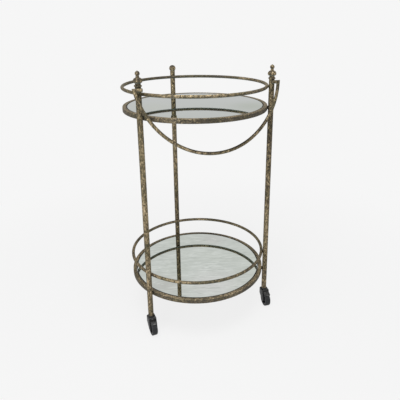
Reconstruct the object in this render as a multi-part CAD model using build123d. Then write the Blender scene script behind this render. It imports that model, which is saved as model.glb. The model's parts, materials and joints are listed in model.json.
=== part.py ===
from build123d import *
import os
from math import acos, asin, cos, degrees, radians, sin, sqrt

# A round two-tier bar cart: three posts, two mirrored trays with gallery rails, a drop handle and
# three swivel casters. Millimetres, +Z up, floor at Z = 0, handle towards -Y.

# Stock
rod_diameter = 10.0
post_diameter = 17.0
post_wall = 1.5
weld_gap = 0.2
press_clearance = 0.02
running_clearance = 0.05

# Plan
rail_ring_radius = 224.5
tray_beyond_rail_line = 3.2
post_spacing_angle = 120
rear_post_angle = 90

# Heights: the post tops and the lower tray above the floor, the rest from these
post_top = 793.7
lower_tray_top = 144.9
upper_rail_below_post_top = 19.8
handle_arm_below_post_top = 5.5
rail_above_tray = 59.0

# Tray rings and shelves
tray_ring_width = 12.0
tray_ring_height = 14.0
tray_corner_radius = 1.5
tab_thickness = 3.0
tab_width = 16.0
tab_length = 14.0
tab_count = 6
tab_first_angle = 0
board_thickness = 6.0
mirror_thickness = 4.0
shelf_side_clearance = 1.2
mirror_edge_bevel = 0.8
stud_diameter = 8.0
weld_pad_diameter = 7.0

# Drop handle: its plane leans outward, and its curve is one wide arc between two flatter ones
handle_beyond_posts = 14.3
handle_lean = 15.5
handle_bottom_radius = 210.5
handle_bottom_half_angle = 30.0
handle_end_angle = 80.0
handle_tail = 12.0
arm_inner_reach = 8.5

# Finials: each rise is measured from the end of the one before it, from the post top up
finial_foot_flare = 0.4
finial_foot_rise = 1.2
finial_base_rise = 1.2
finial_shoulder = 1.4
finial_collar_rise = 4.2
finial_collar_radius = 11.1
finial_neck_rise = 5.0
finial_neck_radius = 7.8
finial_neck_flare = 0.5
finial_bulb_rise = 6.0
finial_bulb_radius = 13.1
finial_taper_rise = 8.4
finial_taper_radius = 8.3
finial_waist_rise = 6.3
finial_waist_radius = 4.6
finial_waist_length = 0.5
finial_ball_radius = 6.8
finial_tip_radius = 1.6
finial_tip_rise = 1.2
bulb_start_slope = (0.9, 0.45)
waist_start_slope = (-0.05, 1)

# Rear ball
ball_radius = 11.3
ball_foot_rise = 0.4
ball_foot_slope_rise = 0.4
ball_neck_radius = 7.8
ball_neck_rise = 0.4

# Post plugs and studs
plug_length = 14.0
finial_stud_diameter = 6.0
finial_stud_length = 22.0
finial_stud_depth = 10.0

# Casters
wheel_radius = 25.0
wheel_width = 17.6
wheel_offset = 18.0
tyre_thickness = 5.5
tyre_shoulder = 2.2
tyre_shoulder_roundness = 0.3
tyre_key_depth = 1.5
hub_rim_width = 3.0
hub_rim_inset = 0.6
hub_web_thickness = 5.0
hub_web_draft = 0.8
hub_boss_radius = 6.5
axle_radius = 3.0
axle_end_bevel = 0.5
hood_gap = 1.4
hood_shell = 2.4
hood_side_gap = 0.8
hood_cheek = 3.4
hood_visor_angle = 41.0
hood_visor_root_angle = 20.0
hood_visor_inset = 0.2
hood_visor_corner_radius = 3.0
hood_axle_boss_radius = 7.5
hood_block_front = 15.5
hood_block_back = 8.5
hood_block_rise = 5.5
hood_block_foot = 36.0
hood_shoulder_radius = 4.4
hood_knee_radius = 6.0
hood_edge_radius = 2.6
stem_radius = 4.0
stem_in_post = 26.0
stem_end_bevel = 0.8
stem_ring_section = 1.2
stem_ring_height = 3.0
stem_ring_reach = 0.9
stem_ring_slack = 0.3
stem_groove_depth = 0.7
socket_flange = 1.0
socket_length = 32.0
washer_thickness = 1.0
washer_gap = 0.2

# How far each caster has turned from straight ahead, in degrees
swivel_rest = {"left": 2.5, "right": -4.7, "rear": 3.5}

# Sizes that follow
rod_radius = rod_diameter / 2
post_radius = post_diameter / 2
post_bore = post_radius - post_wall
post_circle = rail_ring_radius + rod_radius + weld_gap + post_radius
tray_outer_radius = rail_ring_radius + tray_beyond_rail_line
tray_inner_radius = tray_outer_radius - tray_ring_width
board_radius = tray_inner_radius - shelf_side_clearance
upper_tray_top = post_top - upper_rail_below_post_top - rail_above_tray
wheel_space_radius = wheel_radius + hood_gap
shell_radius = wheel_space_radius + hood_shell
hood_top = wheel_radius + shell_radius + hood_block_rise
hood_half_width = wheel_width / 2 + hood_side_gap + hood_cheek
post_bottom = hood_top + washer_gap + washer_thickness + socket_flange
# The stem ends where it would enter the wheel's space
stem_bottom = wheel_radius + sqrt(wheel_space_radius**2 - (wheel_offset - stem_radius) ** 2)
stem_top = post_bottom + stem_in_post
post_angles = {
    "left": rear_post_angle + post_spacing_angle,
    "right": rear_post_angle - post_spacing_angle,
    "rear": rear_post_angle,
}

# The origin is the middle of the plan box, so the rings' axis stands a little towards the handle
rear_reach = post_circle + ball_radius
front_reach = rail_ring_radius + rod_radius
axis_y = (front_reach - rear_reach) / 2

out_folder = "parts"


def save(shape, node):
    """Move a shape from the rings' axis to the origin and write it."""
    export_step(Pos(0, axis_y, 0) * shape, f"{out_folder}/{node}.step")


def group(solids):
    """Several separate solids in one node."""
    return Compound(list(solids))


def at_post(side, height=0.0):
    """The place of a post's axis, with local X pointing out from the rings' axis."""
    angle = radians(post_angles[side])
    return Pos(post_circle * cos(angle), post_circle * sin(angle), height) * Rot(0, 0, post_angles[side])


def turned(outline):
    """A solid turned about Z from a closed outline in the XZ plane."""
    return revolve(make_face(Plane.XZ * outline), Axis.Z)


def tube(outer, inner, bottom, top):
    height = top - bottom
    ring = Cylinder(outer, height) - Cylinder(inner, height)
    return Pos(0, 0, (bottom + top) / 2) * ring


def rod_between(radius, start, end):
    """A round bar along local X."""
    length = end - start
    return Pos((start + end) / 2, 0, 0) * Rot(0, 90, 0) * Cylinder(radius, length)


# Frame
def post(side):
    return at_post(side) * tube(post_radius, post_bore, post_bottom, post_top)


def gallery_rail(height):
    return Pos(0, 0, height) * Torus(rail_ring_radius, rod_radius)


def rail_welds(height):
    """Pads that fill the narrow gap between a rail and each post."""
    rail = gallery_rail(height)
    pads = []
    for side in post_angles:
        pad = at_post(side, height) * rod_between(weld_pad_diameter / 2, rail_ring_radius - post_circle, 0)
        pads.append((pad - rail - at_post(side) * filled_post()).solid())
    return group(pads)


def filled_post():
    height = post_top - post_bottom
    return Pos(0, 0, (post_bottom + post_top) / 2) * Cylinder(post_radius, height)


def tray_ring(top):
    middle = tray_outer_radius - tray_ring_width / 2
    section = Plane.XZ * Pos(middle, top - tray_ring_height / 2) * RectangleRounded(
        tray_ring_width, tray_ring_height, tray_corner_radius
    )
    return revolve(section, Axis.Z)


def tray_studs(top):
    """Short studs from the tray ring's outer wall to each post."""
    height = top - tray_ring_height / 2
    ring_wall = Pos(0, 0, height) * Cylinder(tray_outer_radius, tray_ring_height)
    studs = []
    for side in post_angles:
        stud = at_post(side, height) * rod_between(stud_diameter / 2, tray_inner_radius - post_circle, 0)
        studs.append((stud - ring_wall - at_post(side) * filled_post()).solid())
    return group(studs)


def tray_tabs(top):
    """Tabs inside the ring, level with its lower face, that the shelf rests on."""
    middle = top - tray_ring_height + tab_thickness / 2
    reach = Pos(0, 0, middle) * Cylinder(tray_inner_radius, tab_thickness)
    blank_length = tab_length + tray_ring_width
    blank_x = tray_outer_radius - blank_length / 2
    blank = Pos(blank_x, 0, middle) * Box(blank_length, tab_width, tab_thickness)
    tabs = []
    for number in range(tab_count):
        angle = tab_first_angle + number * 360 / tab_count
        tabs.append((Rot(0, 0, angle) * blank & reach).solid())
    return group(tabs)


def backing_board(top):
    bottom = top - tray_ring_height + tab_thickness
    return Pos(0, 0, bottom + board_thickness / 2) * Cylinder(board_radius, board_thickness)


def mirror(top):
    bottom = top - tray_ring_height + tab_thickness + board_thickness
    glass = Pos(0, 0, bottom + mirror_thickness / 2) * Cylinder(board_radius, mirror_thickness)
    return chamfer(glass.edges().group_by(Axis.Z)[-1], mirror_edge_bevel)


# Drop handle
front_post_x = post_circle * sin(radians(post_spacing_angle / 2))
handle_half_width = front_post_x + handle_beyond_posts
handle_arm_height = post_top - handle_arm_below_post_top
arm_distance = post_radius + weld_gap + rod_radius
arm_line = post_circle * cos(radians(post_spacing_angle / 2)) + arm_distance
handle_side_radius = (handle_half_width - handle_bottom_radius * sin(radians(handle_bottom_half_angle))) / (
    sin(radians(handle_end_angle)) - sin(radians(handle_bottom_half_angle))
)
handle_drop = handle_bottom_radius * (1 - cos(radians(handle_bottom_half_angle))) + handle_side_radius * (
    cos(radians(handle_bottom_half_angle)) - cos(radians(handle_end_angle))
)
handle_plane = Plane(
    origin=(0, -arm_line, handle_arm_height),
    x_dir=(1, 0, 0),
    z_dir=(0, -cos(radians(handle_lean)), sin(radians(handle_lean))),
)


def mitre_cutter(hand, side):
    """A block on one side of the plane that halves the corner between an arm and the handle."""
    end = radians(handle_end_angle)
    along_handle = Vector(-hand * cos(end), -sin(end), 0)
    along_arm = Vector(-hand, 0, 0)
    corner = Vector(hand * handle_half_width, 0, 0)
    corner_point = handle_plane.from_local_coords(corner)
    towards_handle = handle_plane.from_local_coords(corner + along_handle - along_arm) - corner_point
    size = 4 * rod_diameter
    block = Pos(0, 0, side * size / 2) * Box(size, size, size)
    return Plane(origin=corner_point, z_dir=towards_handle) * block


def handle():
    low = handle_bottom_half_angle
    end = handle_end_angle
    bottom_centre = handle_bottom_radius - handle_drop
    side_x = (handle_bottom_radius - handle_side_radius) * sin(radians(low))
    side_y = bottom_centre - (handle_bottom_radius - handle_side_radius) * cos(radians(low))
    tail = (handle_tail * cos(radians(end)), handle_tail * sin(radians(end)))
    right_end = (handle_half_width, 0)
    left_end = (-handle_half_width, 0)
    route = (
        Line((left_end[0] - tail[0], tail[1]), left_end)
        + CenterArc((-side_x, side_y), handle_side_radius, -90 - end, end - low)
        + CenterArc((0, bottom_centre), handle_bottom_radius, -90 - low, 2 * low)
        + CenterArc((side_x, side_y), handle_side_radius, -90 + low, end - low)
        + Line(right_end, (right_end[0] + tail[0], tail[1]))
    )
    path = handle_plane * route
    rod = sweep((path ^ 0) * Circle(rod_radius), path=path)
    for hand in (-1, 1):
        rod = rod - mitre_cutter(hand, -1)
    return rod


def handle_arm(hand):
    """A rod across the front of a post, cut to the handle's end at its outer side."""
    inner_end = front_post_x - arm_inner_reach
    outer_end = handle_half_width + handle_tail
    start, end = sorted((hand * inner_end, hand * outer_end))
    rod = Pos(0, -arm_line, handle_arm_height) * rod_between(rod_radius, start, end)
    return rod - mitre_cutter(hand, 1)


def handle_welds():
    """Pads between each arm and the front of its post."""
    pads = []
    for hand, side in ((-1, "left"), (1, "right")):
        pad = Rot(90, 0, 0) * Cylinder(weld_pad_diameter / 2, arm_distance)
        pad = Pos(hand * front_post_x, arm_distance / 2 - arm_line, handle_arm_height) * pad
        arm = rod_between(rod_radius, -post_diameter, post_diameter)
        arm = Pos(hand * front_post_x, -arm_line, handle_arm_height) * arm
        pads.append((pad - arm - at_post(side) * filled_post()).solid())
    return group(pads)


# Finials and plugs
def finial():
    """A turned finial: collar, neck, bulb, waist, ball and tip, with a threaded hole below."""
    shoulder = finial_neck_radius + finial_shoulder
    collar_bottom = finial_foot_rise + finial_base_rise
    collar_top = collar_bottom + finial_collar_rise
    neck_top = collar_top + finial_neck_rise
    bulb = neck_top + finial_bulb_rise
    taper = bulb + finial_taper_rise
    waist = taper + finial_waist_rise
    ball_start = waist + finial_waist_length
    ball = ball_start + finial_ball_radius * cos(asin(finial_waist_radius / finial_ball_radius))
    tip_start = ball + sqrt(finial_ball_radius**2 - finial_tip_radius**2)
    tip = tip_start + finial_tip_rise
    tip_curve = (finial_tip_radius**2 + finial_tip_rise**2) / (2 * finial_tip_rise)
    tip_angle = degrees(acos(finial_tip_radius / tip_curve))
    foot = [(post_radius, 0), (post_radius + finial_foot_flare, finial_foot_rise), (shoulder, collar_bottom)]
    neck_end = (finial_neck_radius + finial_neck_flare, neck_top)
    outline = (
        Polyline(*stud_hole(), *foot)
        + ThreePointArc(
            (shoulder, collar_bottom),
            (finial_collar_radius, (collar_bottom + collar_top) / 2),
            (shoulder, collar_top),
        )
        + ThreePointArc((shoulder, collar_top), (finial_neck_radius, (collar_top + neck_top) / 2), neck_end)
        + Spline(
            neck_end,
            (finial_bulb_radius, bulb),
            (finial_taper_radius, taper),
            (finial_waist_radius, waist),
            tangents=[bulb_start_slope, waist_start_slope],
        )
        + Line((finial_waist_radius, waist), (finial_waist_radius, ball_start))
        + ThreePointArc(
            (finial_waist_radius, ball_start),
            (finial_ball_radius, ball),
            (finial_tip_radius, tip_start),
        )
        + CenterArc((0, tip - tip_curve), tip_curve, tip_angle, 90 - tip_angle)
        + Line((0, tip), stud_hole()[0])
    )
    return turned(outline)


def ball_cap():
    """A plain ball on a short neck, with a threaded hole below."""
    neck_bottom = ball_foot_rise + ball_foot_slope_rise
    neck_top = neck_bottom + ball_neck_rise
    ball = neck_top + sqrt(ball_radius**2 - ball_neck_radius**2)
    foot = [(post_radius, 0), (post_radius, ball_foot_rise), (ball_neck_radius, neck_bottom)]
    outline = (
        Polyline(*stud_hole(), *foot, (ball_neck_radius, neck_top))
        + ThreePointArc((ball_neck_radius, neck_top), (ball_radius, ball), (0, ball + ball_radius))
        + Line((0, ball + ball_radius), stud_hole()[0])
    )
    return turned(outline)


def stud_hole():
    """Outline points of the blind hole that takes the upper end of a stud."""
    depth = finial_stud_depth + press_clearance
    radius = finial_stud_diameter / 2 + press_clearance
    return [(0, depth), (radius, depth), (radius, 0)]


def finial_studs():
    studs = []
    for side in post_angles:
        middle = post_top + finial_stud_depth - finial_stud_length / 2
        studs.append(at_post(side, middle) * Cylinder(finial_stud_diameter / 2, finial_stud_length))
    return group(studs)


def post_plugs():
    """Plugs pressed into the tops of the posts, with a hole for each stud."""
    plugs = []
    for side in post_angles:
        plug = tube(
            post_bore - press_clearance,
            finial_stud_diameter / 2 + press_clearance,
            post_top - plug_length,
            post_top,
        )
        plugs.append(at_post(side) * plug)
    return group(plugs)


# Casters, built about the stem with the wheel towards -Y
def caster_place(side):
    angle = radians(post_angles[side])
    return Pos(post_circle * cos(angle), post_circle * sin(angle), 0) * Rot(0, 0, swivel_rest[side])


def across(radius, width):
    """A cylinder along the axle."""
    return Pos(0, -wheel_offset, wheel_radius) * Rot(0, 90, 0) * Cylinder(radius, width)


def caster_socket():
    """A sleeve inside the post's lower end, with a flange against the tube."""
    bore = stem_radius + press_clearance
    sleeve = tube(post_bore - press_clearance, bore, post_bottom, post_bottom + socket_length)
    flange = tube(post_radius, bore, post_bottom - socket_flange, post_bottom)
    return sleeve + flange


def stem_groove(depth, reach, slack):
    """The ring-shaped space for the snap ring, from inside the stem to inside the hood."""
    return tube(
        stem_radius + reach,
        stem_radius - depth,
        stem_bottom + stem_ring_height - slack,
        stem_bottom + stem_ring_height + stem_ring_section + slack,
    )


def caster_stem():
    length = stem_top - stem_bottom
    stem = Pos(0, 0, stem_bottom + length / 2) * Cylinder(stem_radius, length)
    stem = chamfer(stem.edges().group_by(Axis.Z)[-1], stem_end_bevel)
    return stem - stem_groove(stem_groove_depth, stem_ring_reach, press_clearance)


def stem_ring():
    return stem_groove(stem_groove_depth - press_clearance, stem_ring_reach, 0)


def swivel_washer():
    top = post_bottom - socket_flange
    return tube(post_radius, stem_radius + press_clearance, top - washer_thickness, top)


def arm_outline():
    """The hood seen from the side without its visor: a block for the stem and arms down to the axle."""
    middle = Pos((hood_block_back - hood_block_front) / 2, (hood_block_foot + hood_top) / 2)
    block = middle * Rectangle(hood_block_front + hood_block_back, hood_top - hood_block_foot)
    boss = Pos(-wheel_offset, wheel_radius) * Circle(hood_axle_boss_radius)
    outline = make_hull(block.edges() + boss.edges())
    knee = outline.vertices().sort_by_distance((hood_block_back, hood_block_foot))[0]
    return fillet(knee, hood_knee_radius)


def hood_front_view():
    """The hood seen from the front, with round shoulders."""
    view = Pos(0, hood_top / 2) * Rectangle(2 * hood_half_width, hood_top)
    return fillet(view.vertices().group_by(Axis.Y)[-1], hood_shoulder_radius)


def hood_visor():
    """A sector over the wheel, of which the wheel's space leaves a curved strip with a round lip."""
    half_width = wheel_width / 2 + hood_side_gap - hood_visor_inset
    turn = hood_visor_angle + hood_visor_root_angle
    steps = [radians(-hood_visor_angle + turn * share) for share in (0, 0.5, 1)]
    arc = [(shell_radius * sin(step), shell_radius * cos(step)) for step in steps]
    outline = Line((0, 0), arc[0]) + ThreePointArc(*arc) + Line(arc[2], (0, 0))
    sector = Pos(-wheel_offset, wheel_radius) * make_face(outline)
    visor = extrude(Plane.YZ * sector, half_width, both=True)
    lip = visor.faces().sort_by(Axis.Y)[0]
    return fillet(lip.edges().filter_by(Axis.X, reverse=True), hood_visor_corner_radius)


def caster_hood():
    """A hood with a block around the stem, an arm on each side and a visor over the wheel."""
    width = 2 * hood_half_width
    body = extrude(Plane.YZ * arm_outline(), hood_half_width, both=True)
    body = body & extrude(Plane.XZ * hood_front_view(), width, both=True)
    body = fillet(body.edges(), hood_edge_radius) + hood_visor()
    wheel_space = across(wheel_space_radius, wheel_width + 2 * hood_side_gap)
    stem_bore = Pos(0, 0, (wheel_radius + hood_top) / 2) * Cylinder(
        stem_radius + running_clearance, hood_top - wheel_radius
    )
    ring_space = stem_groove(0, stem_ring_reach + stem_ring_slack, stem_ring_slack)
    axle_bore = across(axle_radius + press_clearance, width)
    return body - wheel_space - stem_bore - ring_space - axle_bore


def caster_axle():
    width = 2 * hood_half_width
    pin = across(axle_radius, width)
    return chamfer(pin.edges().filter_by(GeomType.CIRCLE), axle_end_bevel)


def wheel_section(points):
    """A ring about the axle from a closed outline of (distance along axle, radius) points."""
    outline = Polyline(*points, close=True)
    ring = revolve(make_face(Plane.XY * outline), Axis.X)
    return Pos(0, -wheel_offset, wheel_radius) * ring


def wheel_hub():
    """A wheel centre with a rim, a thinner web and a boss bored for the axle."""
    half = wheel_width / 2
    rim = wheel_radius - tyre_thickness
    key = rim + tyre_key_depth
    inner_rim = rim - hub_rim_width
    bore = axle_radius + running_clearance
    web = hub_web_thickness / 2
    side = half - hub_rim_inset
    right = [
        (half, bore),
        (half, hub_boss_radius),
        (web, hub_boss_radius + hub_web_draft),
        (web, inner_rim - hub_web_draft),
        (side, inner_rim),
        (side, rim),
        (web, rim),
        (web, key),
    ]
    left = [(-x, r) for x, r in reversed(right)]
    return wheel_section(right + left)


def wheel_tyre():
    """A tread ring with rounded-off shoulders, keyed to the rim by a groove."""
    half = wheel_width / 2
    rim = wheel_radius - tyre_thickness + press_clearance
    key = rim + tyre_key_depth
    web = hub_web_thickness / 2 + press_clearance
    corner = tyre_shoulder * tyre_shoulder_roundness
    right = [
        (web, key),
        (web, rim),
        (half, rim),
        (half, wheel_radius - tyre_shoulder),
        (half - corner, wheel_radius - corner),
        (half - tyre_shoulder, wheel_radius),
    ]
    left = [(-x, r) for x, r in reversed(right)]
    return wheel_section(right + left)


def build():
    os.makedirs(out_folder, exist_ok=True)

    for side in post_angles:
        save(post(side), f"post_{side}")

    for level, top in (("upper", upper_tray_top), ("lower", lower_tray_top)):
        rail_height = top + rail_above_tray
        save(gallery_rail(rail_height), f"{level}_gallery_rail")
        save(rail_welds(rail_height), f"{level}_rail_welds")
        save(tray_ring(top), f"{level}_tray_ring")
        save(tray_studs(top), f"{level}_tray_studs")
        save(tray_tabs(top), f"{level}_tray_tabs")
        save(backing_board(top), f"{level}_backing_board")
        save(mirror(top), f"{level}_mirror")

    save(handle(), "handle")
    save(handle_arm(-1), "handle_arm_left")
    save(handle_arm(1), "handle_arm_right")
    save(handle_welds(), "handle_welds")

    save(at_post("left", post_top) * finial(), "finial_left")
    save(at_post("right", post_top) * finial(), "finial_right")
    save(at_post("rear", post_top) * ball_cap(), "ball_cap_rear")
    save(post_plugs(), "post_plugs")
    save(finial_studs(), "finial_studs")

    caster_parts = {
        "caster_socket": caster_socket(),
        "caster_stem": caster_stem(),
        "stem_ring": stem_ring(),
        "swivel_washer": swivel_washer(),
        "caster_hood": caster_hood(),
        "caster_axle": caster_axle(),
        "wheel_hub": wheel_hub(),
        "wheel_tyre": wheel_tyre(),
    }
    for side in post_angles:
        for name, shape in caster_parts.items():
            save(caster_place(side) * shape, f"{name}_{side}")


build()
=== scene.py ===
import json
from math import cos, pi, radians, sin

import bmesh
import bpy
from mathutils import Matrix, Vector


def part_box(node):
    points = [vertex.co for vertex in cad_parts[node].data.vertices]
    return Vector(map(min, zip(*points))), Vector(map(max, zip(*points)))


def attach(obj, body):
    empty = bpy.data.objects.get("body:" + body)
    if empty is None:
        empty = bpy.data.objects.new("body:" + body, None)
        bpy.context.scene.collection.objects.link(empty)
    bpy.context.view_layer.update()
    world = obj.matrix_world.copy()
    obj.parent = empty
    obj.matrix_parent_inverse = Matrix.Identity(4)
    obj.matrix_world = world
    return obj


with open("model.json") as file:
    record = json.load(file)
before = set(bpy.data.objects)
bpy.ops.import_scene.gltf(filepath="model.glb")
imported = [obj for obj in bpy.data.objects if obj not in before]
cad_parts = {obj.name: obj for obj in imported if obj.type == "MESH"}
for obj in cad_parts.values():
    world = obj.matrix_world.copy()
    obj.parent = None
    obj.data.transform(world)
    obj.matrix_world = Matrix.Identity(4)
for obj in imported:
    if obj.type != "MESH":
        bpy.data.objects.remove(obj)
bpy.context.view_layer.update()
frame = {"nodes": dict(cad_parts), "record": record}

# Looks of a round two-tier bar cart. Metres, +Z up, the handle towards -Y.

nodes = frame["nodes"]
sides = ("left", "right", "rear")
levels = ("upper", "lower")
mm = 0.001
straight_up = Vector((0.0, 0.0, 1.0))

# The rings share one upright axis, which passes through the middle of the upper shelf
shelf_middle = frame["record"]["mounts"][0]["pos_m"]
rings_axis = Vector((0.0, shelf_middle[1], 0.0))

# The photograph's camera, for a frame of 400 x 400 pixels
image_size = 400
focal_pixels = 433.9
centre_pixel = (209.6, 165.2)
sensor_width = 36.0
camera_distance = 1.3705
camera_height = 0.9652
camera_azimuth = radians(19.61)
camera_turn = radians(1.867)
camera_pitch = radians(18.44)
camera_roll = radians(0.348)

# Light: the white that the camera, gloss and glass see around the object, and what lights it
background_white = (0.922, 0.922, 0.922)
ambient_grey = (0.18, 0.18, 0.18)
light_target = (0.0, 0.0, 0.45)
# Softboxes: name, place, width and height, watts
softboxes = (
    ("key_softbox", (-1.8, -1.9, 0.9), (1.2, 1.2), 34.0),
    ("top_softbox", (-0.3, -0.6, 2.8), (1.6, 1.6), 62.0),
    ("fill_softbox", (2.0, -1.5, 1.5), (1.0, 1.4), 5.0),
)

# Floor: near the object a share of it is paper that takes the shadow, and that share fades out with distance
floor_radius = 12.0
floor_sides = 96
floor_fade = (0.45, 1.4)
floor_shadow_share = 0.10
paper_grey = (0.80, 0.80, 0.80)

# Antique gold metal, as levels of its mottling and base colours, from the darkest patina to the rubbed gold
patina_stops = (
    (0.38, (0.024, 0.018, 0.012)),
    (0.45, (0.082, 0.063, 0.036)),
    (0.50, (0.180, 0.140, 0.078)),
    (0.55, (0.320, 0.248, 0.145)),
    (0.62, (0.600, 0.470, 0.300)),
)
pit_brown = (0.026, 0.020, 0.014)
fleck_gold = (0.560, 0.450, 0.300)
verdigris = (0.105, 0.112, 0.066)
tarnish_grey = (0.165, 0.160, 0.140)
# Painted light on faces that look down: a paler, greener grey
underside_painted_light = (0.205, 0.245, 0.220)
metal_reflection = (0.25, 0.22, 0.18)

# How the metal of the rails, the posts and the trays is worn, and where light and shade are painted on it.
# Three levels add to its mottling, where more is paler: "lift" everywhere, "top" on faces that look up, which
# paints light on the trays and shade on the posts, and "outer" on faces that look away from the axis, which
# paints shade on the trays. "grey" is the share of grey tarnish, and "stretch" scales the mottling's
# coordinates.
no_stretch = (1.0, 1.0, 1.0)
no_turn = (0.0, 0.0, 0.0)
rail_wear = {
    "lift": -0.014,
    "top": 0.0,
    "outer": 0.0,
    "grey": 0.20,
    "metallic": 0.6,
    "gloss": 0.5,
    "stretch": no_stretch,
}
post_wear_and_light = {
    "lift": 0.004,
    # On the posts, painted shade on faces that look up
    "top": -0.05,
    "outer": 0.0,
    "grey": 0.14,
    "metallic": 0.4,
    "gloss": 0.3,
    "stretch": (1.0, 1.0, 0.6),
}
tray_wear_and_light = {
    "lift": -0.058,
    # On the rings, painted light on faces that look up and painted shade on faces that look away from the
    # axis
    "top": 0.080,
    "outer": -0.026,
    "grey": 0.24,
    "metallic": 0.6,
    "gloss": 0.75,
    "stretch": no_stretch,
}

# Places where the metal is painted darker or paler than elsewhere, as painted light and shade: darker on the
# far sides of the rails and rings, at the front of the lower rail, at the left of the lower ring, on the
# right post and low on the rear post, paler higher up on the rear post, and painted highlights on the upper
# rail's front and the left arm's top. The handle's right leg is darker at its top and paler below. Each is a
# point, radius, level
upper_rail_up = 0.775
lower_rail_up = 0.204
upper_ring_up = 0.710
lower_ring_up = 0.140
right_post = (0.206, -0.129)
rear_post = (0.0, 0.228)
rail_light_and_shade = (
    ((0.0, 0.215, upper_rail_up), 0.330, -0.062),
    ((0.120, 0.180, upper_rail_up), 0.220, -0.040),
    ((0.060, -0.230, lower_rail_up), 0.250, -0.024),
    ((0.141, 0.165, upper_rail_up), 0.070, -0.060),
    # A painted highlight on the front of the upper rail
    ((-0.060, -0.226, 0.778), 0.060, 0.028),
    ((0.100, -0.190, lower_rail_up), 0.120, -0.030),
)
post_light_and_shade = (
    ((*right_post, 0.740), 0.200, -0.044),
    ((*right_post, 0.520), 0.170, -0.062),
    ((*rear_post, 0.310), 0.180, -0.056),
    ((*rear_post, 0.080), 0.240, -0.034),
    ((*rear_post, 0.560), 0.260, 0.046),
    ((*rear_post, 0.765), 0.060, 0.020),
    # A painted highlight on the top of the left arm
    ((-0.206, -0.146, 0.793), 0.013, 0.110),
    ((0.2215, -0.147, 0.774), 0.022, -0.080),
    ((0.2215, -0.153, 0.752), 0.018, 0.050),
)
tray_painted_shade = (
    ((-0.200, -0.060, lower_ring_up), 0.130, -0.024),
    ((0.060, 0.215, lower_ring_up), 0.240, -0.034),
    ((0.080, 0.205, upper_ring_up), 0.240, -0.060),
)

# Mirrors: the glass and its clouds, the turn of the streaks from the X axis and how strong they are, and the
# radii between which the glass turns into a dark rim of painted shade, for the shadowed inner wall of the
# ring
glass_tint = (0.565, 0.598, 0.562)
cloud_tint = (0.565, 0.608, 0.542)
glass_reflection = (0.77, 0.77, 0.78)
streak_turn = radians(17.0)
streak_stretch = (1.0, 5.0, 1.0)
upper_streaks = 0.25
lower_streaks = 1.0
mirror_shade_rim = (211.6 * mm, 212.8 * mm)
shade_rim_black = (0.022, 0.022, 0.020)

# Patches of painted reflection on the mirrors, paler or darker than the glass around them: point, radius,
# tint
upper_glass_up = 0.714
lower_glass_up = 0.144
reflection_patch_share = 0.9
upper_reflection_patches = (
    ((0.155, -0.115, upper_glass_up), 0.120, (0.450, 0.500, 0.400)),
    ((-0.137, -0.007, upper_glass_up), 0.120, (0.560, 0.600, 0.520)),
)
lower_reflection_patches = (
    ((0.000, -0.165, lower_glass_up), 0.130, (0.660, 0.665, 0.650)),
    ((-0.150, -0.107, lower_glass_up), 0.090, (0.520, 0.530, 0.500)),
    ((0.110, 0.120, lower_glass_up), 0.080, (0.585, 0.590, 0.565)),
)

# Plastic, rubber and steel, each as the darkest and lightest colour and the least and most roughness
caster_black = ((0.006, 0.006, 0.006), (0.015, 0.015, 0.014), 0.34, 0.52)
hub_black = ((0.006, 0.006, 0.007), (0.014, 0.014, 0.016), 0.42, 0.58)
rubber_black = ((0.008, 0.009, 0.010), (0.018, 0.019, 0.021), 0.52, 0.72)
zinc_steel = ((0.34, 0.34, 0.35), (0.56, 0.56, 0.55), 0.26, 0.44)
dark_steel = ((0.030, 0.030, 0.031), (0.060, 0.060, 0.060), 0.26, 0.44)
plastic_gloss = 0.36
rubber_gloss = 0.34
# The grey of the painted highlights on the caster hoods
highlight_grey = (0.190, 0.190, 0.183)

# Painted highlights on the caster hoods, such as the lip's, from the wheel's middle: forward, to the right,
# up, radius, share
hood_highlights = {
    "left": (
        (19.0 * mm, 0.0, 20.0 * mm, 7.0 * mm, 0.9),
        (-2.0 * mm, 0.5 * mm, 28.0 * mm, 6.0 * mm, 0.6),
        (-6.0 * mm, -9.0 * mm, 31.0 * mm, 7.0 * mm, 0.7),
        (-5.0 * mm, -9.5 * mm, 22.0 * mm, 6.0 * mm, 0.5),
    ),
    "right": (
        (19.0 * mm, -1.0 * mm, 20.0 * mm, 7.0 * mm, 1.0),
        (-1.0 * mm, -1.0 * mm, 25.0 * mm, 6.0 * mm, 0.9),
        (6.0 * mm, 6.0 * mm, 26.0 * mm, 6.0 * mm, 0.8),
    ),
    "rear": (
        (19.0 * mm, 1.0 * mm, 20.0 * mm, 7.0 * mm, 0.8),
        (-3.0 * mm, -8.0 * mm, 27.0 * mm, 7.0 * mm, 0.6),
    ),
}

# Backing boards
board_black = (0.030, 0.026, 0.022)
board_brown = (0.060, 0.052, 0.045)
board_dust = (0.075, 0.066, 0.058)

# Weld beads: their rings round the joints, their section, how it ripples and swells along the ring, and the
# posts that they meet
rod_weld_radius = 3.7 * mm
stud_weld_radius = 4.4 * mm
bead_radius = 1.15 * mm
bead_steps = 96
bead_sides = 14
ripple_count = 13
ripple_share = 0.13
wide_swell_count = 2
wide_swell_share = 0.10
wide_swell_shift = 90
short_swell_count = 5
short_swell_share = 0.06
short_swell_shift = 70
post_radius = 8.5 * mm


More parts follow.
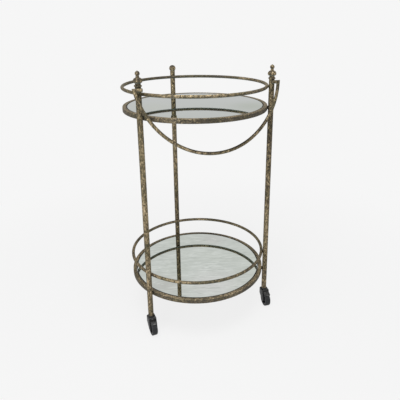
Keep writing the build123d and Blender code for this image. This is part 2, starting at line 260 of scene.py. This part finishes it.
class Tree:
    """A node tree that is built one line at a time."""

    def __init__(self, owner):
        owner.use_nodes = True
        self.tree = owner.node_tree
        self.tree.nodes.clear()

    def put(self, socket, value):
        """Links an input to a socket, or sets it to a value. A colour gets its alpha."""
        if isinstance(value, bpy.types.NodeSocket):
            self.tree.links.new(value, socket)
        elif isinstance(value, tuple) and socket.type == "RGBA":
            socket.default_value = (*value, 1.0)
        else:
            socket.default_value = value

    def add(self, kind, inputs=None, **settings):
        """Adds a node with its settings and inputs."""
        node = self.tree.nodes.new("ShaderNode" + kind)
        for key, value in settings.items():
            setattr(node, key, value)
        for key, value in (inputs or {}).items():
            self.put(node.inputs[key], value)
        return node

    def math(self, operation, first, second):
        return self.add("Math", {0: first, 1: second}, operation=operation).outputs[0]

    def vector(self, operation, first, second):
        return self.add("VectorMath", {0: first, 1: second}, operation=operation).outputs["Vector"]

    def measure(self, operation, first, second=(0.0, 0.0, 0.0)):
        """A number from vectors, such as a length."""
        return self.add("VectorMath", {0: first, 1: second}, operation=operation).outputs["Value"]

    def mix(self, share, first, second):
        """A colour between two, by the share of the second."""
        node = self.add("Mix", data_type="RGBA")
        for socket, value in ((node.inputs[0], share), (node.inputs[6], first), (node.inputs[7], second)):
            self.put(socket, value)
        return node.outputs[2]

    def ramp(self, value, span, result=(0.0, 1.0)):
        """A smooth step between two results while a value crosses its span."""
        inputs = {
            "Value": value,
            "From Min": span[0],
            "From Max": span[1],
            "To Min": result[0],
            "To Max": result[1],
        }
        return self.add("MapRange", inputs, interpolation_type="SMOOTHSTEP").outputs["Result"]

    def colours(self, value, stops):
        """A colour for each level of a value, smooth between the stops."""
        node = self.add("ValToRGB", {"Fac": value})
        band = node.color_ramp
        band.interpolation = "EASE"
        while len(band.elements) < len(stops):
            band.elements.new(0.5)
        for element, (level, colour) in zip(band.elements, stops):
            element.position = level
            element.color = (*colour, 1.0)
        return node.outputs["Color"]

    def here(self):
        """Points of the surface in the object's own frame, in metres."""
        return self.add("TexCoord").outputs["Object"]

    def facing(self):
        """The way that the surface faces, in the object's own frame."""
        return self.add("TexCoord").outputs["Normal"]

    def mapped(self, where, stretch=no_stretch, turn=no_turn):
        """Points that are stretched and then turned."""
        return self.add("Mapping", {"Vector": where, "Scale": stretch, "Rotation": turn}).outputs["Vector"]

    def place(self, stretch=no_stretch, turn=no_turn):
        return self.mapped(self.here(), stretch, turn)

    def from_axis(self):
        """The level way from the rings' axis to a point of the object."""
        apart = self.vector("SUBTRACT", self.here(), tuple(rings_axis))
        return self.vector("MULTIPLY", apart, (1.0, 1.0, 0.0))

    def spot(self, point, radius, amount):
        """An amount at a point of the object, fading to nothing at the radius."""
        away = self.measure("DISTANCE", self.here(), point)
        return self.ramp(away, (0.0, radius), (amount, 0.0))

    def noise(self, place, scale, detail, roughness=0.55, distortion=0.0):
        inputs = {
            "Vector": place,
            "Scale": scale,
            "Detail": detail,
            "Roughness": roughness,
            "Distortion": distortion,
        }
        return self.add("TexNoise", inputs).outputs["Fac"]

    def bump(self, height, strength, distance, normal=None):
        inputs = {"Height": height, "Strength": strength, "Distance": distance}
        if normal is not None:
            inputs["Normal"] = normal
        return self.add("Bump", inputs).outputs["Normal"]

    def finish(self, shader):
        self.add("OutputMaterial", {"Surface": shader.outputs[0]})

    def finish_principled(self, inputs):
        self.finish(self.add("BsdfPrincipled", inputs))


def new_material(name):
    material = bpy.data.materials.new(name)
    return material, Tree(material)


def shifted(colour, step):
    return tuple(part + step for part in colour)


# Materials
def wear_and_light_level(tree, wear_and_light, places):
    """How pale the metal is at each point: its blotches and specks, and painted light and shade by the way
    its face looks, in its crevices and at the given places.

    Returns that level, and how far the surface faces up.
    """
    place = tree.place(wear_and_light["stretch"])
    blotch = tree.noise(place, scale=130.0, detail=6.0, roughness=0.66, distortion=0.6)
    speck = tree.noise(place, scale=270.0, detail=5.0, roughness=0.60, distortion=0.3)
    drift = tree.noise(place, scale=10.0, detail=2.0)
    drift_swing = 0.035
    level = tree.math("ADD", tree.math("MULTIPLY", blotch, 0.55), tree.math("MULTIPLY", speck, 0.45))
    changes = [tree.ramp(drift, (0.30, 0.70), (wear_and_light["lift"] - drift_swing, wear_and_light["lift"] + drift_swing))]
    facing_up = tree.add("SeparateXYZ", {0: tree.facing()}).outputs["Z"]
    # Painted light on faces that look up where this level is above 0, and painted shade where it is below 0
    changes.append(tree.ramp(facing_up, (0.20, 0.90), (0.0, wear_and_light["top"])))
    # Painted shade on faces that look away from the rings' axis
    if wear_and_light["outer"]:
        outward = tree.add("VectorMath", {0: tree.from_axis()}, operation="NORMALIZE").outputs["Vector"]
        facing_out = tree.measure("DOT_PRODUCT", tree.facing(), outward)
        changes.append(tree.ramp(facing_out, (0.40, 0.95), (0.0, wear_and_light["outer"])))
    changes.extend(tree.spot(point, radius, amount) for point, radius, amount in places)
    # Darker in crevices, by ambient occlusion: partly patina in the hollows, partly painted shade, such as on
    # the rings' inner walls beside the mirrors
    crevice_patina_and_shade = tree.add("AmbientOcclusion", {"Distance": 7 * mm}, samples=6).outputs["AO"]
    changes.append(tree.ramp(crevice_patina_and_shade, (0.30, 0.80), (-0.14, 0.0)))
    for change in changes:
        level = tree.math("ADD", level, change)
    return level, facing_up


def antique_gold(name, wear_and_light, places):
    """Dark patina under gold that was rubbed on by hand, with green and grey tarnish, flecks and pits, and
    with painted light and shade: by the way faces look, paler and greener on faces that look down, darker in
    crevices, and at given places.
    """
    material, tree = new_material(name)
    level, facing_up = wear_and_light_level(tree, wear_and_light, places)
    tarnish = tree.noise(tree.place(), scale=17.0, detail=2.0)
    turned_place = tree.place(wear_and_light["stretch"], turn=(0.7, 0.4, 0.2))
    pits = tree.noise(turned_place, scale=250.0, detail=6.0, roughness=0.70)
    flecks = tree.noise(turned_place, scale=330.0, detail=5.0, roughness=0.65)
    grain = tree.noise(tree.place(wear_and_light["stretch"]), scale=1300.0, detail=2.0)

    green_share = tree.ramp(tarnish, (0.40, 0.70), (0.0, 0.30))
    grey_share = tree.ramp(tarnish, (0.60, 0.40), (wear_and_light["grey"] * 0.4, wear_and_light["grey"]))
    # Painted light on faces that look down
    underside_light_share = tree.math("MULTIPLY", tree.ramp(facing_up, (-0.35, -0.80)), 0.70)
    fleck_share = tree.math("MULTIPLY", tree.ramp(flecks, (0.40, 0.32)), 0.55)
    pit_share = tree.math("MULTIPLY", tree.ramp(pits, (0.53, 0.64)), 0.85)
    colour = tree.colours(level, patina_stops)
    colour = tree.mix(green_share, colour, verdigris)
    colour = tree.mix(grey_share, colour, tarnish_grey)
    colour = tree.mix(underside_light_share, colour, underside_painted_light)
    colour = tree.mix(fleck_share, colour, fleck_gold)
    colour = tree.mix(pit_share, colour, pit_brown)

    relief = tree.bump(level, strength=0.45, distance=0.40 * mm)
    inputs = {
        "Base Color": colour,
        "Metallic": tree.ramp(level, (0.36, 0.56), (wear_and_light["metallic"] * 0.25, wear_and_light["metallic"])),
        "Roughness": tree.ramp(level, (0.38, 0.62), (0.58, 0.38)),
        "Normal": tree.bump(grain, strength=0.25, distance=0.08 * mm, normal=relief),
        "Specular IOR Level": wear_and_light["gloss"],
        "Specular Tint": metal_reflection,
    }
    tree.finish_principled(inputs)
    return material


def mirror_glass(name, streaks, reflection_patches):
    """A mirror with a faint green cast and cloudy streaks, patches of painted reflection that are paler or
    darker, and a dark rim of painted shade.
    """
    material, tree = new_material(name)
    streak_place = tree.mapped(tree.place(turn=(0.0, 0.0, streak_turn)), streak_stretch)
    streak = tree.noise(streak_place, scale=9.0, detail=3.0, roughness=0.5, distortion=0.5)
    fine = tree.noise(streak_place, scale=30.0, detail=4.0, roughness=0.6, distortion=0.8)
    cloud = tree.noise(tree.place(), scale=5.0, detail=2.0)
    dust = tree.noise(tree.place(), scale=260.0, detail=2.0)
    # The dark rim is painted shade, for the shadowed inner wall of the ring and its reflection in the glass
    rim = tree.ramp(tree.measure("LENGTH", tree.from_axis()), mirror_shade_rim)

    colour = tree.mix(tree.ramp(streak, (0.35, 0.68), (0.0, streaks)), glass_tint, shifted(glass_tint, 0.07))
    colour = tree.mix(tree.ramp(cloud, (0.35, 0.65), (0.0, 0.35)), colour, cloud_tint)
    # Painted reflection: paler or darker patches at given places
    for point, radius, patch_reflection in reflection_patches:
        colour = tree.mix(tree.spot(point, radius, reflection_patch_share), colour, patch_reflection)
    pale_share = tree.ramp(fine, (0.52, 0.66), (0.0, streaks * 0.65))
    dull_share = tree.ramp(fine, (0.47, 0.34), (0.0, streaks * 0.6))
    colour = tree.mix(pale_share, colour, shifted(glass_tint, 0.16))
    colour = tree.mix(dull_share, colour, shifted(glass_tint, -0.08))
    colour = tree.mix(rim, colour, shade_rim_black)

    haze = tree.ramp(streak, (0.35, 0.70), (0.012, 0.03))
    specks = tree.ramp(dust, (0.66, 0.80), (0.0, 0.05))
    rough = tree.math("ADD", tree.math("ADD", haze, specks), tree.math("MULTIPLY", rim, 0.5))
    inputs = {
        "Base Color": colour,
        "Metallic": tree.math("SUBTRACT", 1.0, rim),
        "Roughness": rough,
        "Normal": tree.bump(streak, strength=0.05, distance=0.05 * mm),
        "Specular Tint": glass_reflection,
    }
    tree.finish_principled(inputs)
    return material


def dark_board(name):
    """Fibreboard painted black, with a faint fibre texture."""
    material, tree = new_material(name)
    fibre = tree.noise(tree.place(stretch=(1.0, 1.0, 0.3)), scale=700.0, detail=4.0)
    cloud = tree.noise(tree.place(), scale=40.0, detail=4.0)
    colour = tree.mix(tree.ramp(fibre, (0.3, 0.7)), board_black, board_brown)
    colour = tree.mix(tree.ramp(cloud, (0.4, 0.7), (0.0, 0.4)), colour, board_dust)
    inputs = {
        "Base Color": colour,
        "Roughness": tree.ramp(fibre, (0.3, 0.7), (0.70, 0.85)),
        "Normal": tree.bump(fibre, strength=0.3, distance=0.1 * mm),
    }
    tree.finish_principled(inputs)
    return material


def moulded_plastic(name, finish, highlights=()):
    """Black plastic with a fine moulded grain, rubbed patches and painted highlights at given places,
    streaked by noise.
    """
    dark, light, smoothest, roughest = finish
    material, tree = new_material(name)
    grain = tree.noise(tree.place(), scale=1800.0, detail=2.0)
    rub = tree.noise(tree.place(), scale=110.0, detail=4.0)
    highlight_streaks = tree.noise(tree.place(stretch=(1.0, 1.0, 0.4)), scale=420.0, detail=4.0)
    highlight_streak_share = tree.ramp(highlight_streaks, (0.36, 0.56), (0.25, 1.0))
    colour = tree.mix(tree.ramp(rub, (0.35, 0.70)), dark, light)
    # Painted highlights, streaked by noise
    for point, radius, amount in highlights:
        highlight_share = tree.math("MULTIPLY", tree.spot(point, radius, amount), highlight_streak_share)
        colour = tree.mix(highlight_share, colour, highlight_grey)
    inputs = {
        "Base Color": colour,
        "Roughness": tree.ramp(rub, (0.3, 0.7), (smoothest, roughest)),
        "Normal": tree.bump(grain, strength=0.2, distance=0.06 * mm),
        "Specular IOR Level": plastic_gloss,
    }
    tree.finish_principled(inputs)
    return material


def tread_rubber(name, finish):
    """Dark blue-grey rubber with dust in its grain."""
    dark, light, smoothest, roughest = finish
    material, tree = new_material(name)
    grain = tree.noise(tree.place(), scale=900.0, detail=3.0)
    dust = tree.noise(tree.place(), scale=150.0, detail=4.0)
    inputs = {
        "Base Color": tree.mix(tree.ramp(dust, (0.40, 0.72)), dark, light),
        "Roughness": tree.ramp(dust, (0.3, 0.7), (smoothest, roughest)),
        "Normal": tree.bump(grain, strength=0.3, distance=0.08 * mm),
        "Specular IOR Level": rubber_gloss,
    }
    tree.finish_principled(inputs)
    return material


def plated_steel(name, finish):
    """Plated steel with fine turning marks and dull spots."""
    dark, light, smoothest, roughest = finish
    material, tree = new_material(name)
    spots = tree.noise(tree.place(), scale=500.0, detail=3.0)
    marks = tree.noise(tree.place(stretch=(1.0, 1.0, 14.0)), scale=300.0, detail=2.0)
    inputs = {
        "Base Color": tree.mix(tree.ramp(spots, (0.35, 0.70)), dark, light),
        "Metallic": 1.0,
        "Roughness": tree.ramp(marks, (0.3, 0.7), (smoothest, roughest)),
        "Normal": tree.bump(marks, strength=0.15, distance=0.05 * mm),
    }
    tree.finish_principled(inputs)
    return material


def assign(material, *names):
    for name in names:
        mesh = nodes[name].data
        mesh.materials.clear()
        mesh.materials.append(material)


def middle_of(node):
    low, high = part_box(node)
    return (low + high) / 2


def hood_plastic(side):
    """The plastic of one hood, with painted highlights at the places listed for its side."""
    wheel = middle_of(f"wheel_tyre_{side}")
    forward = wheel - middle_of(f"post_{side}")
    forward.z = 0.0
    forward.normalize()
    to_right = forward.cross(straight_up)
    highlights = []
    for ahead, sideways, up, radius, amount in hood_highlights[side]:
        place = wheel + forward * ahead + to_right * sideways + straight_up * up
        highlights.append((tuple(place), radius, amount))
    return moulded_plastic(f"hood_plastic_{side}", caster_black, highlights)


def dress_rails():
    metal = antique_gold("antique_gold", rail_wear, rail_light_and_shade)
    for level in levels:
        assign(metal, f"{level}_gallery_rail", f"{level}_rail_welds")
    return metal


def dress_trays():
    metal = antique_gold("antique_gold_trays", tray_wear_and_light, tray_painted_shade)
    for level in levels:
        assign(metal, f"{level}_tray_ring", f"{level}_tray_studs", f"{level}_tray_tabs")
    return metal


def dress_posts():
    """The posts, and the handle and caps that share their metal."""
    metal = antique_gold("antique_gold_posts", post_wear_and_light, post_light_and_shade)
    assign(metal, *(f"post_{side}" for side in sides))
    assign(metal, "handle", "handle_arm_left", "handle_arm_right", "handle_welds")
    assign(metal, "finial_left", "finial_right", "ball_cap_rear")
    return metal


def dress_shelves():
    assign(mirror_glass("upper_mirror_glass", upper_streaks, upper_reflection_patches), "upper_mirror")
    assign(mirror_glass("lower_mirror_glass", lower_streaks, lower_reflection_patches), "lower_mirror")
    assign(dark_board("black_board"), "upper_backing_board", "lower_backing_board")


def dress_casters():
    """The casters, and the hidden steel of the posts."""
    steel = plated_steel("plated_steel", zinc_steel)
    axle_steel = plated_steel("dark_steel", dark_steel)
    socket = moulded_plastic("socket_plastic", caster_black)
    hub = moulded_plastic("hub_plastic", hub_black)
    rubber = tread_rubber("tread_rubber", rubber_black)
    assign(steel, "post_plugs", "finial_studs")
    for side in sides:
        assign(steel, f"caster_stem_{side}", f"stem_ring_{side}", f"swivel_washer_{side}")
        assign(axle_steel, f"caster_axle_{side}")
        assign(socket, f"caster_socket_{side}")
        assign(hood_plastic(side), f"caster_hood_{side}")
        assign(hub, f"wheel_hub_{side}")
        assign(rubber, f"wheel_tyre_{side}")


# Welds
def add_bead(form, middle, across, ring_radius):
    """A ripply ring of weld metal round a joint, whose axis is the way across the joint."""
    across = Vector(across).normalized()
    level = across.cross(straight_up).normalized()
    rings = []
    for step in range(bead_steps):
        turn = 2 * pi * step / bead_steps
        out = level * cos(turn) + straight_up * sin(turn)
        ripple = 1 + ripple_share * sin(ripple_count * turn)
        wide_swell = wide_swell_share * sin(wide_swell_count * turn + wide_swell_shift * middle[0])
        short_swell = short_swell_share * sin(short_swell_count * turn + short_swell_shift * middle[2])
        bead = bead_radius * ripple * (1 + wide_swell + short_swell)
        ring = []
        for side in range(bead_sides):
            angle = 2 * pi * side / bead_sides
            point = Vector(middle) + out * (ring_radius + bead * cos(angle)) + across * bead * sin(angle)
            ring.append(form.verts.new(point))
        rings.append(ring)
    for step in range(bead_steps):
        first, second = rings[step], rings[(step + 1) % bead_steps]
        for side in range(bead_sides):
            other = (side + 1) % bead_sides
            form.faces.new((first[side], first[other], second[other], second[side]))


def weld_piece(name, metal, ring_radius, joints):
    """One piece with the weld beads of several joints, each a middle and the way across it."""
    form = bmesh.new()
    for middle, across in joints:
        add_bead(form, middle, across, ring_radius)
    bmesh.ops.recalc_face_normals(form, faces=form.faces)
    mesh = bpy.data.meshes.new(name)
    form.to_mesh(mesh)
    form.free()
    mesh.polygons.foreach_set("use_smooth", [True] * len(mesh.polygons))
    mesh.materials.append(metal)
    piece = bpy.data.objects.new(name, mesh)
    bpy.context.scene.collection.objects.link(piece)
    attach(piece, "frame")


def ring_joints(level, node):
    """The joints of a ring with the three posts, halfway between its rim and each post."""
    low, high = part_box(f"{level}_{node}")
    rim = (high.x - low.x) / 2
    height = (low.z + high.z) / 2
    joints = []
    for side in sides:
        post = middle_of(f"post_{side}")
        outward = Vector((post.x, post.y - rings_axis.y, 0.0))
        post_near = outward.length - post_radius
        place = rings_axis + outward.normalized() * (rim + post_near) / 2
        joints.append(((place.x, place.y, height), outward))
    return joints


def arm_joints():
    """The joints of the handle's arms with the fronts of the posts."""
    joints = []
    for side in ("left", "right"):
        post = middle_of(f"post_{side}")
        arm_low, arm_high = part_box(f"handle_arm_{side}")
        front = (post.y - post_radius + arm_high.y) / 2
        joints.append(((post.x, front, (arm_low.z + arm_high.z) / 2), (0.0, -1.0, 0.0)))
    return joints


def make_welds(rail_metal, tray_metal, post_metal):
    for level in levels:
        weld_piece(f"{level}_rail_beads", rail_metal, rod_weld_radius, ring_joints(level, "gallery_rail"))
        weld_piece(f"{level}_stud_beads", tray_metal, stud_weld_radius, ring_joints(level, "tray_ring"))
    weld_piece("handle_beads", post_metal, rod_weld_radius, arm_joints())


# Studio
def is_looked_at(tree):
    """1 where the camera, gloss or glass looks, and 0 for the light that falls on the object."""
    path = tree.add("LightPath").outputs
    looks = tree.math("MAXIMUM", path["Is Camera Ray"], path["Is Glossy Ray"])
    return tree.math("MAXIMUM", looks, path["Is Transmission Ray"])


def make_world():
    world = bpy.data.worlds.new("studio")
    bpy.context.scene.world = world
    tree = Tree(world)
    colour = tree.mix(is_looked_at(tree), ambient_grey, background_white)
    background = tree.add("Background", {"Color": colour})
    tree.add("OutputWorld", {"Surface": background.outputs[0]})


def make_floor():
    """A wide disc under the wheels that keeps the shadow and fades into the background."""
    mesh = bpy.data.meshes.new("floor")
    form = bmesh.new()
    bmesh.ops.create_circle(form, cap_ends=True, radius=floor_radius, segments=floor_sides)
    form.to_mesh(mesh)
    form.free()
    floor = bpy.data.objects.new("floor", mesh)
    bpy.context.scene.collection.objects.link(floor)
    material, tree = new_material("floor_paper")
    distance = tree.measure("LENGTH", tree.here())
    fade = tree.ramp(distance, floor_fade, (1.0 - floor_shadow_share, 1.0))
    white_share = tree.math("MULTIPLY", fade, is_looked_at(tree))
    paper = tree.add("BsdfDiffuse", {"Color": paper_grey})
    glow = tree.add("Emission", {"Color": background_white})
    tree.finish(tree.add("MixShader", {0: white_share, 1: paper.outputs[0], 2: glow.outputs[0]}))
    mesh.materials.append(material)


def make_lights():
    for name, place, size, watts in softboxes:
        light = bpy.data.lights.new(name, "AREA")
        light.shape = "RECTANGLE"
        light.size, light.size_y = size
        light.energy = watts
        lamp = bpy.data.objects.new(name, light)
        lamp.location = place
        lamp.rotation_euler = (Vector(light_target) - Vector(place)).to_track_quat("-Z", "Y").to_euler()
        bpy.context.scene.collection.objects.link(lamp)


def make_camera():
    """The camera of the photograph, from its place, its angles and its principal point."""
    turned = Matrix.Rotation(-camera_azimuth, 3, "Z")
    place = turned @ Vector((0.0, -camera_distance, camera_height)) + rings_axis
    ahead = cos(camera_pitch)
    forward = turned @ Vector((sin(camera_turn) * ahead, cos(camera_turn) * ahead, -sin(camera_pitch)))
    level = turned @ Vector((cos(camera_turn), -sin(camera_turn), 0.0))
    below = forward.cross(level)
    right = level * cos(camera_roll) + below * sin(camera_roll)
    up = right.cross(forward)
    view = Matrix((right, up, -forward)).transposed().to_4x4()
    data = bpy.data.cameras.new("photo_camera")
    data.sensor_width = sensor_width
    data.lens = focal_pixels / image_size * sensor_width
    data.shift_x = 0.5 - centre_pixel[0] / image_size
    data.shift_y = centre_pixel[1] / image_size - 0.5
    camera = bpy.data.objects.new("photo_camera", data)
    camera.matrix_world = Matrix.Translation(place) @ view
    bpy.context.scene.collection.objects.link(camera)
    bpy.context.scene.camera = camera


dress_shelves()
dress_casters()
make_welds(dress_rails(), dress_trays(), dress_posts())
make_world()
make_floor()
make_lights()
make_camera()
bpy.context.scene.view_settings.view_transform = "Standard"
